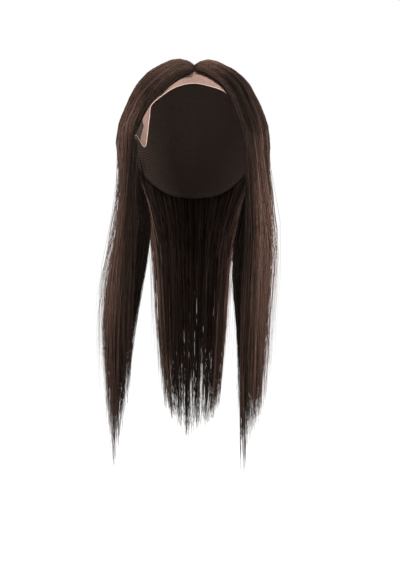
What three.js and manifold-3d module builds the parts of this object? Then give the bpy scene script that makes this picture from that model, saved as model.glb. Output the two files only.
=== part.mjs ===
// Lace-front wig: long straight hair with a middle parting, on a hollow net cap.
// Millimetres, +Z up. The wearer looks along -Y and +X is the wearer's left.
// The origin is the crown, at the inside of the cap, where the wig sits.

import * as THREE from "three";
import { ParametricGeometry } from "three/addons/geometries/ParametricGeometry.js";
import { mergeVertices } from "three/addons/utils/BufferGeometryUtils.js";
import Module from "manifold-3d";

const wasm = await Module();
wasm.setup();

// The form that the cap is shaped to is an egg, widest at FORM.dome below the crown
const FORM = { halfBreadth: 75, halfLength: 98, dome: 92 };

// Walls, and the gap that neighbouring pieces keep
const CAP_WALL = 1.2;
const LACE_WALL = 1;
const LACE_LIFT = 0.1;
const GAP = 0.3;

// Hair: how high it stands off the form, and where the parting and the crown lie
const HAIR_INNER_LIFT = 2.2;
const PARTING_HALF_GAP = 0.6;
const CROWN_Y = 24;

// Facets
const CAP_FACETS = { round: 40, down: 14 };
const LACE_FACETS = { along: 48, across: 4 };
const HAIR_FACETS = { perLock: 4, along: 18 };
const TIP_FACETS = { round: 6, along: 6 };

// Edge of the net cap, in degrees: heading is round from the front, drop is down from the crown.
// At the front it reaches just past the seam, where the lace is let in.
const CAP_EDGE = [
  { heading: 0, drop: 16.5 },
  { heading: 20, drop: 27.5 },
  { heading: 37, drop: 40.5 },
  { heading: 50, drop: 57 },
  { heading: 60, drop: 78 },
  { heading: 66, drop: 94 },
  { heading: 72, drop: 101 },
  { heading: 86, drop: 86 },
  { heading: 102, drop: 86 },
  { heading: 122, drop: 103 },
  { heading: 150, drop: 119 },
  { heading: 180, drop: 123 },
];

// Cuts across the lace from the wearer's right ear to the left one: its seam to the cap,
// its free edge, and how far that edge stands off the form
const LACE_CUTS = [
  { seamHeading: -69, seamDrop: 101, edgeHeading: -65, edgeDrop: 100, flare: 0 },
  { seamHeading: -65, seamDrop: 90, edgeHeading: -55, edgeDrop: 83, flare: 4 },
  { seamHeading: -60, seamDrop: 77, edgeHeading: -42.5, edgeDrop: 91.5, flare: 5 },
  { seamHeading: -56, seamDrop: 68, edgeHeading: -39.5, edgeDrop: 84, flare: 5 },
  { seamHeading: -51, seamDrop: 57, edgeHeading: -41, edgeDrop: 71, flare: 3 },
  { seamHeading: -45, seamDrop: 48, edgeHeading: -44.5, edgeDrop: 61.5, flare: 1 },
  { seamHeading: -37, seamDrop: 39, edgeHeading: -37, edgeDrop: 54.5, flare: 0 },
  { seamHeading: -20, seamDrop: 26, edgeHeading: -21, edgeDrop: 45.5, flare: 0 },
  { seamHeading: 0, seamDrop: 15, edgeHeading: 0, edgeDrop: 42, flare: 0 },
  { seamHeading: 20, seamDrop: 26, edgeHeading: 20, edgeDrop: 45, flare: 0 },
  { seamHeading: 37, seamDrop: 39, edgeHeading: 36, edgeDrop: 49.5, flare: 0 },
  { seamHeading: 48, seamDrop: 53, edgeHeading: 46, edgeDrop: 60, flare: 0 },
  { seamHeading: 56, seamDrop: 68, edgeHeading: 51, edgeDrop: 73, flare: 0 },
  { seamHeading: 63, seamDrop: 84, edgeHeading: 57, edgeDrop: 87, flare: 0 },
  { seamHeading: 69, seamDrop: 101, edgeHeading: 65, edgeDrop: 100, flare: 0 },
];

// Height of the hair's outer surface above the form, by share of the way from parting to widest level
const HAIR_LIFT = [
  { share: 0, lift: 4 },
  { share: 0.04, lift: 8.5 },
  { share: 0.14, lift: 12.5 },
  { share: 0.3, lift: 14.5 },
  { share: 0.6, lift: 13.5 },
  { share: 1, lift: 12.5 },
];

// Each fall of hair is a curtain that bends round in plan, as half an oval, from its start edge
// through its middle to its end edge. A row is its outer face at one level below the crown.
const FALLS = {
  hair_right: {
    side: -1,
    fullness: 1.1,
    startHeading: 54,
    endHeading: 105,
    startRootY: -40,
    endRootY: CROWN_Y,
    levels: [
      { level: -140, startX: 68.5, startY: -66, midX: 86, midY: -18, endX: 56, endY: 20, thick: 12 },
      { level: -175, startX: 69, startY: -66, midX: 89.5, midY: -24, endX: 47, endY: 14, thick: 12 },
      { level: -207, startX: 70, startY: -66, midX: 95, midY: -32, endX: 49.5, endY: 4, thick: 12 },
      { level: -250, startX: 72, startY: -66, midX: 100.5, midY: -42, endX: 57, endY: -12, thick: 12 },
      { level: -290, startX: 74, startY: -68, midX: 103, midY: -50, endX: 68.5, endY: -30, thick: 12 },
      { level: -330, startX: 75, startY: -70, midX: 100.5, midY: -56, endX: 69.5, endY: -42, thick: 12 },
      { level: -370, startX: 77.5, startY: -70, midX: 97.5, midY: -60, endX: 75, endY: -48, thick: 12 },
      { level: -405, startX: 83, startY: -70, midX: 95, midY: -63, endX: 81.5, endY: -54, thick: 10 },
      { level: -434, startX: 87, startY: -69, midX: 89, midY: -65, endX: 87, endY: -60, thick: 6 },
    ],
    tips: [
      { place: 0.08, reach: 0.96 },
      { place: 0.25, reach: 1 },
      { place: 0.42, reach: 0.97 },
      { place: 0.58, reach: 0.94 },
      { place: 0.75, reach: 0.98 },
      { place: 0.92, reach: 0.95 },
    ],
  },
  hair_left: {
    side: 1,
    fullness: 1,
    startHeading: 47,
    endHeading: 105,
    startRootY: -34,
    endRootY: CROWN_Y,
    levels: [
      { level: -140, startX: 62, startY: -68, midX: 89, midY: -18, endX: 59, endY: 20, thick: 12 },
      { level: -175, startX: 63, startY: -68, midX: 92.5, midY: -24, endX: 49.5, endY: 15, thick: 12 },
      { level: -207, startX: 62.5, startY: -68, midX: 94, midY: -32, endX: 41.5, endY: 7, thick: 12 },
      { level: -245, startX: 60, startY: -68, midX: 90, midY: -42, endX: 41, endY: -10, thick: 12 },
      { level: -287, startX: 58, startY: -70, midX: 85, midY: -52, endX: 47.5, endY: -30, thick: 12 },
      { level: -330, startX: 57.5, startY: -72, midX: 81.5, midY: -58, endX: 47.5, endY: -43, thick: 12 },
      { level: -370, startX: 57, startY: -72, midX: 79, midY: -62, endX: 50.5, endY: -50, thick: 12 },
      { level: -405, startX: 57, startY: -72, midX: 70.5, midY: -64, endX: 53.5, endY: -56, thick: 10 },
      { level: -447, startX: 55.5, startY: -70, midX: 57.5, midY: -66, endX: 55.5, endY: -62, thick: 6 },
    ],
    tips: [
      { place: 0.08, reach: 0.97 },
      { place: 0.25, reach: 1 },
      { place: 0.42, reach: 0.95 },
      { place: 0.58, reach: 0.94 },
      { place: 0.75, reach: 0.98 },
      { place: 0.92, reach: 0.95 },
    ],
  },
  hair_back: {
    side: 1,
    fullness: 1,
    startHeading: 106,
    endHeading: 254,
    startRootY: CROWN_Y,
    endRootY: CROWN_Y,
    levels: [
      { level: -135, startX: 68, startY: 40, midX: 0, midY: 109, endX: -68, endY: 40, thick: 12 },
      { level: -165, startX: 56, startY: 47, midX: 0, midY: 103, endX: -58, endY: 47, thick: 12 },
      { level: -200, startX: 46, startY: 50, midX: -2, midY: 96, endX: -50, endY: 50, thick: 11 },
      { level: -250, startX: 42, startY: 54, midX: -3, midY: 91, endX: -47, endY: 54, thick: 10 },
      { level: -300, startX: 40, startY: 57, midX: -3, midY: 88, endX: -45, endY: 57, thick: 10 },
      { level: -350, startX: 36, startY: 60, midX: -3, midY: 86, endX: -41, endY: 60, thick: 9 },
      { level: -392, startX: 25, startY: 65, midX: -3, midY: 84, endX: -31, endY: 65, thick: 8 },
      { level: -428, startX: 10, startY: 72, midX: -3, midY: 81, endX: -16, endY: 72, thick: 5 },
    ],
    tips: [
      { place: 0.06, reach: 0.94 },
      { place: 0.19, reach: 0.97 },
      { place: 0.31, reach: 0.96 },
      { place: 0.44, reach: 0.98 },
      { place: 0.56, reach: 1 },
      { place: 0.69, reach: 0.97 },
      { place: 0.81, reach: 0.96 },
      { place: 0.94, reach: 0.94 },
    ],
  },
};

// Shares of the way from parting to widest level where a lock is pinned to the form
const FORM_PINS = [0, 0.04, 0.14, 0.32, 0.55, 0.78, 1];

// A fall's wall is at most this share of the way in to the middle of its half oval
const MOST_SOLID = 0.75;

// The fused sheet of locks: the share of the hair's length that it covers, the shares of that
// over which it thickens from the parting and thins to its end, how deep its grooves are, how
// square its side edges are, and how closely its rings stand at the parting
const SHEET = { reach: 0.86, swell: 0.06, thin: 0.14, groove: 0.3, square: 6, rootRings: 0.6 };

// Where the sheet's edge lies between the form (0) and the outermost hair (1): beside the cap at
// the parting and down the sides, halfway at the end, with the change over the lower share
const EDGE_LAYER = { side: 0.12, end: 0.5, changeFrom: 0.5 };

// The loose tip of a lock starts inside the sheet, at a share of the hair's length. Its half
// width is in lock widths and its half thickness in thicknesses of the fall.
const TIP = { start: 0.74, halfWidth: 0.55, halfThick: 0.46 };

const { lerp, degToRad, radToDeg, smoothstep } = THREE.MathUtils;

// Reads one column of a table, smoothly, at a value of its key column
function column(rows, key, name, at) {
  const keys = rows.map((row) => row[key]);
  const values = rows.map((row) => row[name]);
  return new THREE.CubicInterpolant(keys, values, 1).evaluate(at)[0];
}

// A point on the form grown by lift, at a heading round from the front and a drop from the crown
function formPoint(heading, drop, lift) {
  const round = degToRad(heading);
  const down = degToRad(drop);
  return new THREE.Vector3(
    (FORM.halfBreadth + lift) * Math.sin(down) * Math.sin(round),
    -(FORM.halfLength + lift) * Math.sin(down) * Math.cos(round),
    (FORM.dome + lift) * Math.cos(down) - FORM.dome,
  );
}

// A closed geometry as a solid: its seams are welded and its collapsed faces dropped
function solidFrom(geometry) {
  const bare = geometry.clone();
  bare.deleteAttribute("normal");
  bare.deleteAttribute("uv");
  const welded = mergeVertices(bare);
  const corners = welded.index.array;
  const faces = [];
  for (let i = 0; i < corners.length; i += 3) {
    const face = [corners[i], corners[i + 1], corners[i + 2]];
    if (new Set(face).size === 3) faces.push(...face);
  }
  return new wasm.Manifold(
    new wasm.Mesh({
      numProp: 3,
      vertProperties: welded.attributes.position.array,
      triVerts: new Uint32Array(faces),
    }),
  );
}

// A solid as a geometry again
function geometryFrom(solid) {
  const { vertProperties, triVerts } = solid.getMesh();
  const geometry = new THREE.BufferGeometry();
  geometry.setAttribute("position", new THREE.BufferAttribute(vertProperties, 3));
  geometry.setIndex(new THREE.BufferAttribute(triVerts, 1));
  geometry.computeVertexNormals();
  return geometry;
}

// A hollow dome on the form between two lifts, down to the cap's edge
function domeShell(innerLift, outerLift) {
  const surface = (u, v, target) => {
    const heading = lerp(-180, 180, u);
    const rim = column(CAP_EDGE, "heading", "drop", Math.abs(heading));
    const inside = v <= 0.5;
    const share = inside ? v * 2 : (1 - v) * 2;
    target.copy(formPoint(heading, rim * share, inside ? innerLift : outerLift));
  };
  return solidFrom(new ParametricGeometry(surface, CAP_FACETS.round, CAP_FACETS.down));
}

// The lace band, or the same grown at its seam and its faces: its section runs from the seam to
// the free edge on the inner side and back again outside, and its two ends come to a point
function laceBand(seamGrow = 0, faceGrow = 0) {
  const cuts = LACE_CUTS.map((cut, place) => ({ ...cut, place }));
  const last = cuts.length - 1;
  const points = LACE_FACETS.across;
  const surface = (u, v, target) => {
    const read = (name) => column(cuts, "place", name, (1 - v) * last);
    const step = Math.round(u * 2 * points) % (2 * points);
    const innerSide = step < points;
    const end = v === 0 || v === 1;
    const across = (innerSide ? step : 2 * points - 1 - step) / (points - 1);
    const share = end ? 0.5 : across;
    const stand = LACE_LIFT + read("flare") * share * share;
    const seamDrop = read("seamDrop") - radToDeg(seamGrow / FORM.dome);
    target.copy(
      formPoint(
        lerp(read("seamHeading"), read("edgeHeading"), share),
        lerp(seamDrop, read("edgeDrop"), share),
        stand + (innerSide || end ? -faceGrow : LACE_WALL + faceGrow),
      ),
    );
  };
  return solidFrom(new ParametricGeometry(surface, 2 * points, LACE_FACETS.along));
}

// Direction from the form's centre to a place beside the parting, on a form scaled to a unit ball
function partingDirection(side, y) {
  const out = (side * PARTING_HALF_GAP) / FORM.halfBreadth;
  const back = y / FORM.halfLength;
  return new THREE.Vector3(out, back, Math.sqrt(1 - out * out - back * back));
}

// Great-circle step between two directions
function between(from, to, share) {
  const angle = from.angleTo(to);
  const a = Math.sin((1 - share) * angle) / Math.sin(angle);
  const b = Math.sin(share * angle) / Math.sin(angle);
  return from.clone().multiplyScalar(a).addScaledVector(to, b);
}

// The run of one hair, from parting to tip: across is 0 to 1 from a fall's start edge to its end
// edge, and layer is 0 to 1 from the hair next to the cap to the outermost
function hairRun(fall, across, layer) {
  const root = partingDirection(fall.side, lerp(fall.startRootY, fall.endRootY, across));
  const heading = degToRad(lerp(fall.startHeading, fall.endHeading, across));
  const widest = new THREE.Vector3(fall.side * Math.sin(heading), -Math.cos(heading), 0);
  const onForm = FORM_PINS.map((share) => {
    const outer = fall.fullness * column(HAIR_LIFT, "share", "lift", share);
    const lift = lerp(HAIR_INNER_LIFT, outer, layer);
    const way = between(root, widest, share);
    return new THREE.Vector3(
      (FORM.halfBreadth + lift) * way.x,
      (FORM.halfLength + lift) * way.y,
      (FORM.dome + lift) * way.z - FORM.dome,
    );
  });
  const hanging = fall.levels.map((row) => {
    const start = new THREE.Vector3(fall.side * row.startX, row.startY, row.level);
    const mid = new THREE.Vector3(fall.side * row.midX, row.midY, row.level);
    const end = new THREE.Vector3(fall.side * row.endX, row.endY, row.level);
    const centre = start.clone().lerp(end, 0.5);
    const toStart = start.clone().sub(centre);
    const toMid = mid.clone().sub(centre);
    const bend = across * Math.PI;
    const out = toStart.multiplyScalar(Math.cos(bend)).addScaledVector(toMid, Math.sin(bend));
    const wall = Math.min(row.thick, MOST_SOLID * out.length());
    return centre.addScaledVector(out, 1 - ((1 - layer) * wall) / out.length());
  });
  return new THREE.CatmullRomCurve3([...onForm, ...hanging]);
}

// The locks of a fall, fused side by side into one sheet: rounded outside with a groove between
// locks, smooth inside, and closed to an edge at the parting, at both sides and at the end
function lockSheet(fall) {
  const cells = fall.tips.length * HAIR_FACETS.perLock;
  const runs = Array.from({ length: cells + 1 }, (_, i) => ({
    inner: hairRun(fall, i / cells, 0),
    outer: hairRun(fall, i / cells, 1),
  }));
  const surface = (u, v, target) => {
    const turn = fall.side < 0 ? u : 1 - u;
    const step = Math.round(turn * 2 * cells) % (2 * cells);
    const outside = step < cells;
    const cell = outside ? step : 2 * cells - step;
    const across = cell / cells;
    const sideEdge = Math.sqrt(1 - Math.pow(Math.abs(2 * across - 1), SHEET.square));
    const rootEdge = Math.sqrt(smoothstep(v, 0, SHEET.swell));
    const endEdge = Math.sqrt(1 - smoothstep(v, 1 - SHEET.thin, 1));
    const bulge = Math.abs(Math.sin(Math.PI * across * fall.tips.length));
    const face = outside ? 1 - SHEET.groove * (1 - bulge) : 0;
    const lower = smoothstep(v, EDGE_LAYER.changeFrom, 1);
    const edge = lerp(EDGE_LAYER.side, EDGE_LAYER.end, lower);
    const layer = lerp(edge, face, sideEdge * rootEdge * endEdge);
    const along = SHEET.reach * v * lerp(SHEET.rootRings, 1, v);
    const { inner, outer } = runs[cell];
    target.lerpVectors(inner.getPoint(along), outer.getPoint(along), layer);
  };
  return solidFrom(new ParametricGeometry(surface, 2 * cells, HAIR_FACETS.along));
}

// The loose end of one lock: a flat oval bundle that narrows to a point
function lockTip(fall, { place, reach }) {
  const spread = TIP.halfWidth / fall.tips.length;
  const middle = hairRun(fall, place, 0.5);
  const towardStart = hairRun(fall, place - spread, 0.5);
  const towardEnd = hairRun(fall, place + spread, 0.5);
  const inner = hairRun(fall, place, 0);
  const outer = hairRun(fall, place, 1);
  const surface = (u, v, target) => {
    const along = lerp(TIP.start, reach, v);
    const size = v === 0 ? 0 : Math.sqrt(1 - v);
    const round = fall.side * u * 2 * Math.PI;
    const wide = towardEnd.getPoint(along).sub(towardStart.getPoint(along)).multiplyScalar(0.5);
    const thick = outer.getPoint(along).sub(inner.getPoint(along)).multiplyScalar(TIP.halfThick);
    target.copy(middle.getPoint(along));
    target.addScaledVector(wide, Math.cos(round) * size);
    target.addScaledVector(thick, Math.sin(round) * size);
  };
  return solidFrom(new ParametricGeometry(surface, TIP_FACETS.round, TIP_FACETS.along));
}

// One fall of hair: its sheet of locks and their loose tips, clear of the lace that flares under it
function hairFall(fall) {
  let hair = lockSheet(fall);
  for (const tip of fall.tips) hair = hair.add(lockTip(fall, tip));
  return hair.subtract(laceBand(GAP, GAP));
}

const netMaterial = new THREE.MeshStandardMaterial({ color: 0x2b221d, roughness: 0.9, metalness: 0 });
const laceMaterial = new THREE.MeshStandardMaterial({ color: 0xd8b8a2, roughness: 0.85, metalness: 0 });
const hairMaterial = new THREE.MeshStandardMaterial({ color: 0x3b2c25, roughness: 0.5, metalness: 0 });

function piece(name, solid, material) {
  const mesh = new THREE.Mesh(geometryFrom(solid), material);
  mesh.name = name;
  return mesh;
}

const wig = new THREE.Group();
wig.add(piece("wig_cap", domeShell(0, CAP_WALL).subtract(laceBand(GAP, CAP_WALL)), netMaterial));
wig.add(piece("lace_front", laceBand(), laceMaterial));
for (const [name, fall] of Object.entries(FALLS)) {
  wig.add(piece(name, hairFall(fall), hairMaterial));
}

export default wig;
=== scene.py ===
# %% [markdown]
# # Dressing a lace-front wig
#
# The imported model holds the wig's solids: a net cap, a band of lace and three falls of hair in
# locks. This lesson keeps their places and sizes and gives each one the look of the real thing:
# thousands of strands for the hair, a knotted net for the lace and an elastic net for the cap.

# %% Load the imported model
import math
from types import SimpleNamespace

import bmesh
import bpy
import numpy as np
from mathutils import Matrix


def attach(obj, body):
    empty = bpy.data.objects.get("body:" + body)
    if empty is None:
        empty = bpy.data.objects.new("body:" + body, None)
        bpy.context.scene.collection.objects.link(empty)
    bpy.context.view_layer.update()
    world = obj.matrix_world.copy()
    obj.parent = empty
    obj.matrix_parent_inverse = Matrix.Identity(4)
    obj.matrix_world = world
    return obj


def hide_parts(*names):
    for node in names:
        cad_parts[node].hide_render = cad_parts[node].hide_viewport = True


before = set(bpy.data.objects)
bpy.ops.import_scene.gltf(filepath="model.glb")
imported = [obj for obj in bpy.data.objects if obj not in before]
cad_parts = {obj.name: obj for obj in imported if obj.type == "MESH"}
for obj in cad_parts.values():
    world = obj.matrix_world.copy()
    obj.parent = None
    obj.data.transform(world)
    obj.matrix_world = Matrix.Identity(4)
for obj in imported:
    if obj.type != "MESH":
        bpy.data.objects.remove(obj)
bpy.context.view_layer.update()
print("nodes:", sorted(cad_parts))

# %% [markdown]
# ## Camera
#
# The picture looks straight at the wig from the front, with little perspective, so the camera
# stands well back with a long lens. Its height is that of the middle of the hair.

# %% Camera
PICTURE_PX = (400, 570)
MM_PER_PX = 1.15
CAMERA_BACK_MM = 1900
CAMERA_X_MM = 6.9
CAMERA_Z_MM = -247
SENSOR_MM = 36
MM = 0.001

camera_data = bpy.data.cameras.new("front_camera")
camera_data.sensor_fit = "VERTICAL"
camera_data.sensor_height = SENSOR_MM
camera_data.lens = SENSOR_MM * CAMERA_BACK_MM / (MM_PER_PX * PICTURE_PX[1])
camera = bpy.data.objects.new("front_camera", camera_data)
camera.location = (CAMERA_X_MM * MM, -CAMERA_BACK_MM * MM, CAMERA_Z_MM * MM)
camera.rotation_euler = (math.pi / 2, 0, 0)
bpy.context.scene.collection.objects.link(camera)
bpy.context.scene.camera = camera
print(f"lens {camera_data.lens:.0f} mm")

# %% [markdown]
# ## Colours and nodes
#
# Colours are written as the hex values that a picture editor shows. Blender's shaders work in
# linear light, so one function turns a hex value into linear numbers. A second one adds a node,
# sets it up and links it, which keeps each material short. The last makes a material of one even
# colour.


# %% Colour and node helpers
def linear(hex_colour):
    parts = [int(hex_colour[i : i + 2], 16) / 255 for i in (1, 3, 5)]
    return [*(c / 12.92 if c <= 0.04045 else ((c + 0.055) / 1.055) ** 2.4 for c in parts), 1]


def add_node(material, kind, inputs=None, **settings):
    """Adds a node of this kind. An input takes a value, or another node's socket to link."""
    tree = material.node_tree
    node = tree.nodes.new(kind)
    for name, value in settings.items():
        setattr(node, name, value)
    for name, value in (inputs or {}).items():
        if isinstance(value, bpy.types.NodeSocket):
            tree.links.new(value, node.inputs[name])
        else:
            node.inputs[name].default_value = value
    return node


def new_material(name):
    material = bpy.data.materials.new(name)
    material.use_nodes = True
    return material, material.node_tree.nodes["Principled BSDF"]


def plain_material(name, colour, roughness, shine):
    material, shader = new_material(name)
    shader.inputs["Base Color"].default_value = linear(colour)
    shader.inputs["Roughness"].default_value = roughness
    shader.inputs["Specular IOR Level"].default_value = shine
    return material


print("#808080 in linear light:", round(linear("#808080")[0], 3))

# %% [markdown]
# ## Floor and light
#
# A white floor under an even white sky leaves the hair alone in the picture, as on a studio sweep.
# Three large soft lamps stand for the studio's soft boxes: one on each side in front, and one
# above for the shine on the crown.

# %% Floor and light
FLOOR_Z = -0.512
FLOOR_HALF = 40.0
MIDDLE = (0.0, 0.0, -0.2)
LAMPS = [
    {"name": "left_box", "at": (-1.2, -1.7, 0.8), "size": 0.9, "watts": 41},
    {"name": "right_box", "at": (1.3, -1.7, 0.35), "size": 0.9, "watts": 78},
    {"name": "top_box", "at": (0.0, -0.7, 1.4), "size": 0.8, "watts": 8},
]
SKY_STRENGTH = 1.0

bm = bmesh.new()
bmesh.ops.create_grid(bm, x_segments=1, y_segments=1, size=FLOOR_HALF)
bmesh.ops.translate(bm, verts=bm.verts, vec=(0, 0, FLOOR_Z))
floor_mesh = bpy.data.meshes.new("floor")
bm.to_mesh(floor_mesh)
bm.free()
floor = bpy.data.objects.new("floor", floor_mesh)
bpy.context.scene.collection.objects.link(floor)
# White paper without shine, so that the eye finds no edge where the floor meets the sky.
floor_mesh.materials.append(plain_material("white_paper", "#ffffff", roughness=1.0, shine=0.0))

for row in LAMPS:
    lamp_data = bpy.data.lights.new(row["name"], "AREA")
    lamp_data.size = row["size"]
    lamp_data.energy = row["watts"]
    lamp = bpy.data.objects.new(row["name"], lamp_data)
    lamp.location = row["at"]
    toward = [m - a for m, a in zip(MIDDLE, row["at"])]
    aim = math.atan2(math.hypot(toward[0], toward[1]), -toward[2])
    lamp.rotation_euler = (aim, 0, math.atan2(-toward[0], toward[1]))
    bpy.context.scene.collection.objects.link(lamp)

sky = bpy.data.worlds.new("white_sky")
sky.use_nodes = True
sky.node_tree.nodes["Background"].inputs["Color"].default_value = linear("#ffffff")
sky.node_tree.nodes["Background"].inputs["Strength"].default_value = SKY_STRENGTH
bpy.context.scene.world = sky
bpy.context.scene.view_settings.view_transform = "Standard"
print(f"{len(LAMPS)} lamps over a floor at {FLOOR_Z} m")

# %% [markdown]
# ## The form of the cap
#
# Everything lies on the egg-shaped form that the cap is made to. A place on it is a heading, in
# degrees round from the front, and a drop, in degrees down from the crown. These are the same
# sizes that the solids were made from, in millimetres, and the meshes are written in metres.
# Tables are read with a smooth curve, and values fade in and out with a smooth step.

# %% Places on the form
FORM_HALF_BREADTH = 75
FORM_HALF_LENGTH = 98
FORM_DOME = 92
TINY = 1e-6


def form_place(heading, drop, lift):
    """Points in metres at headings and drops in degrees, lifted off the form in millimetres."""
    turn, down = np.radians(heading), np.radians(drop)
    return MM * np.stack(
        [
            (FORM_HALF_BREADTH + lift) * np.sin(down) * np.sin(turn),
            -(FORM_HALF_LENGTH + lift) * np.sin(down) * np.cos(turn),
            (FORM_DOME + lift) * np.cos(down) - FORM_DOME,
        ],
        axis=-1,
    )


def smooth_table(rows, key, name, at):
    """Reads one column of a table with a smooth curve through its rows."""
    keys = np.array([row[key] for row in rows], float)
    values = np.array([row[name] for row in rows], float)
    slopes = np.gradient(values, keys)
    at = np.clip(at, keys[0], keys[-1])
    i = np.clip(np.searchsorted(keys, at, side="right") - 1, 0, len(keys) - 2)
    step = keys[i + 1] - keys[i]
    w = (at - keys[i]) / step
    rise = values[i + 1] - values[i]
    a = slopes[i] * step - rise
    b = rise - slopes[i + 1] * step
    return values[i] + rise * w + w * (1 - w) * (a * (1 - w) + b * w)


def smooth_step(x, low, high):
    w = np.clip((x - low) / (high - low), 0, 1)
    return w * w * (3 - 2 * w)


def show(piece, slot_name, *nodes):
    """Links a finished piece, lets it ride with the cap and hides the solids that it stands for."""
    bpy.context.scene.collection.objects.link(piece)
    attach(piece, "root")
    if nodes:
        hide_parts(*nodes)
    print(f"{piece.name}: {sum(len(p.vertices) - 2 for p in piece.data.polygons)} triangles")


print("crown at", form_place(0, 0, 0), "widest at", form_place(90, 90, 0))

# %% [markdown]
# ## The net cap
#
# The cap is an elastic net that carries the hair. It is a plain grid, bent over the form so that
# its rows end at the cap's rim, welded at the crown and given a wall with the solidify operator.
# At the front the rim is the seam where the lace is let in. The tables give the rim and the lace:
# where its seam and its free edge lie, how far the edge stands away and how high its fold is.

# %% Tables of the rim and the lace
CAP_WALL = 1.0
CAP_LIFT = 0.1
CAP_EDGE = [
    {"heading": 66, "drop": 94},
    {"heading": 72, "drop": 101},
    {"heading": 86, "drop": 86},
    {"heading": 102, "drop": 86},
    {"heading": 122, "drop": 103},
    {"heading": 150, "drop": 119},
    {"heading": 180, "drop": 123},
]
LACE_COLUMNS = ("seam_heading", "seam_drop", "edge_heading", "edge_drop", "flare", "fold")
LACE_ROWS = [
    (-69, 101, -65, 100, 0, 0),
    (-65, 90, -55, 83, 4, 3),
    (-60, 77, -42.5, 91.5, 5, 5),
    (-56, 68, -39.5, 84, 5, 1.5),
    (-51, 57, -41, 71, 3, 0.5),
    (-45, 48, -44.5, 61.5, 1, 0),
    (-37, 39, -37, 54.5, 0, 0),
    (-20, 26, -21, 45.5, 0, 0),
    (0, 15, 0, 42, 0, 0),
    (20, 26, 20, 45, 0, 0),
    (37, 39, 36, 49.5, 0, 0),
    (48, 53, 46, 60, 0, 0),
    (56, 68, 51, 73, 0, 0),
    (63, 84, 57, 87, 0, 0),
    (69, 101, 65, 100, 0, 0),
]
LACE_CUTS = [dict(zip(LACE_COLUMNS, row), place=i) for i, row in enumerate(LACE_ROWS)]
SEAM_GAP = 0.3
LACE_END_HEADING = 69
LACE_END_DROP = 101


def rim_drop(heading):
    """Drop of the cap's rim, in degrees, at headings from -180 to 180."""
    rim = smooth_table(CAP_EDGE, "heading", "drop", np.abs(heading))
    seam = smooth_table(LACE_CUTS, "seam_heading", "seam_drop", heading)
    gap = np.degrees(SEAM_GAP / FORM_DOME)
    return np.where(np.abs(heading) < LACE_END_HEADING, np.minimum(seam - gap, LACE_END_DROP), rim)


print("rim drops at the front, the side and the back:", rim_drop(np.array([0, 90, 180])))

# %% [markdown]
# The net is a diamond mesh of dark thread, too fine to model hole by hole on the whole cap, so
# the material draws it: two sets of slanting lines make the threads, which stand a little proud
# of the holes. The holes are painted nearly black, painted shade for the dark behind the net. The
# pattern is read from a UV map that is laid out in millimetres.

# %% Net material
NET_PITCH_MM = 2.4
# The colour of the holes is painted shade, for the dark behind the net.
NET_HOLE_SHADE = (0.55, "#0e0a08")
NET_THREAD = (0.9, "#382a23")
THREAD_HEIGHT = {"Strength": 0.6, "Distance": 0.0004}
WAVE_LENGTH = math.pi / 10  # of Blender's wave texture at scale 1


def crossed_threads(material, pitch):
    """A value that is 1 on the threads of a diamond net and 0 in its holes."""
    where = add_node(material, "ShaderNodeUVMap", uv_map="millimetres")
    lines = []
    for slant in (math.pi / 4, -math.pi / 4):
        turned = add_node(
            material,
            "ShaderNodeMapping",
            {"Vector": where.outputs["UV"], "Rotation": (0, 0, slant)},
        )
        wave = add_node(
            material,
            "ShaderNodeTexWave",
            {"Vector": turned.outputs["Vector"], "Scale": WAVE_LENGTH / pitch},
            wave_profile="SIN",
        )
        lines.append(wave.outputs["Fac"])
    most = add_node(material, "ShaderNodeMath", operation="MAXIMUM")
    for i, line in enumerate(lines):
        material.node_tree.links.new(line, most.inputs[i])
    return most.outputs["Value"]


# Matt dark threads over holes painted nearly black, painted shade that the eye reads as a quiet
# shadow.
cap_net, shader = new_material("dark_elastic_net")
threads = crossed_threads(cap_net, NET_PITCH_MM)
ramp = add_node(cap_net, "ShaderNodeValToRGB", {"Fac": threads})
for stop, (place, colour) in zip(ramp.color_ramp.elements, (NET_HOLE_SHADE, NET_THREAD)):
    stop.position = place
    stop.color = linear(colour)
bump = add_node(cap_net, "ShaderNodeBump", {"Height": threads} | THREAD_HEIGHT)
cap_net.node_tree.links.new(ramp.outputs["Color"], shader.inputs["Base Color"])
cap_net.node_tree.links.new(bump.outputs["Normal"], shader.inputs["Normal"])
shader.inputs["Roughness"].default_value = 0.8
shader.inputs["Specular IOR Level"].default_value = 0.2

# Matt dark tape, a soft dark line that ends the net.
hem_tape = plain_material("dark_hem_tape", "#1d1511", roughness=0.85, shine=0.2)
print("net pitch", NET_PITCH_MM, "mm")

# %% Cap
CAP_ROUND = 120
CAP_DOWN = 36

bm = bmesh.new()
grid_uv = bm.loops.layers.uv.new("millimetres")
bmesh.ops.create_grid(bm, x_segments=CAP_ROUND, y_segments=CAP_DOWN, size=1)
for face in bm.faces:
    for loop in face.loops:
        round_mm = loop.vert.co.x * math.pi * FORM_HALF_BREADTH
        down_mm = loop.vert.co.y * FORM_DOME
        loop[grid_uv].uv = (round_mm, down_mm)
flat = np.array([v.co for v in bm.verts])
heading = 180 * flat[:, 0]
share = (1 - flat[:, 1]) / 2
for vert, place in zip(bm.verts, form_place(heading, rim_drop(heading) * share, CAP_LIFT)):
    vert.co = place
bmesh.ops.remove_doubles(bm, verts=bm.verts, dist=TINY)
bmesh.ops.recalc_face_normals(bm, faces=bm.faces)
bmesh.ops.solidify(bm, geom=bm.faces, thickness=-CAP_WALL * MM)
bmesh.ops.recalc_face_normals(bm, faces=bm.faces)
cap_mesh = bpy.data.meshes.new("cap_net")
bm.to_mesh(cap_mesh)
bm.free()
cap_mesh.materials.append(cap_net)
cap_mesh.shade_smooth()
cap = bpy.data.objects.new("cap_net", cap_mesh)
show(cap, "cap_net", "wig_cap")

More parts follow.
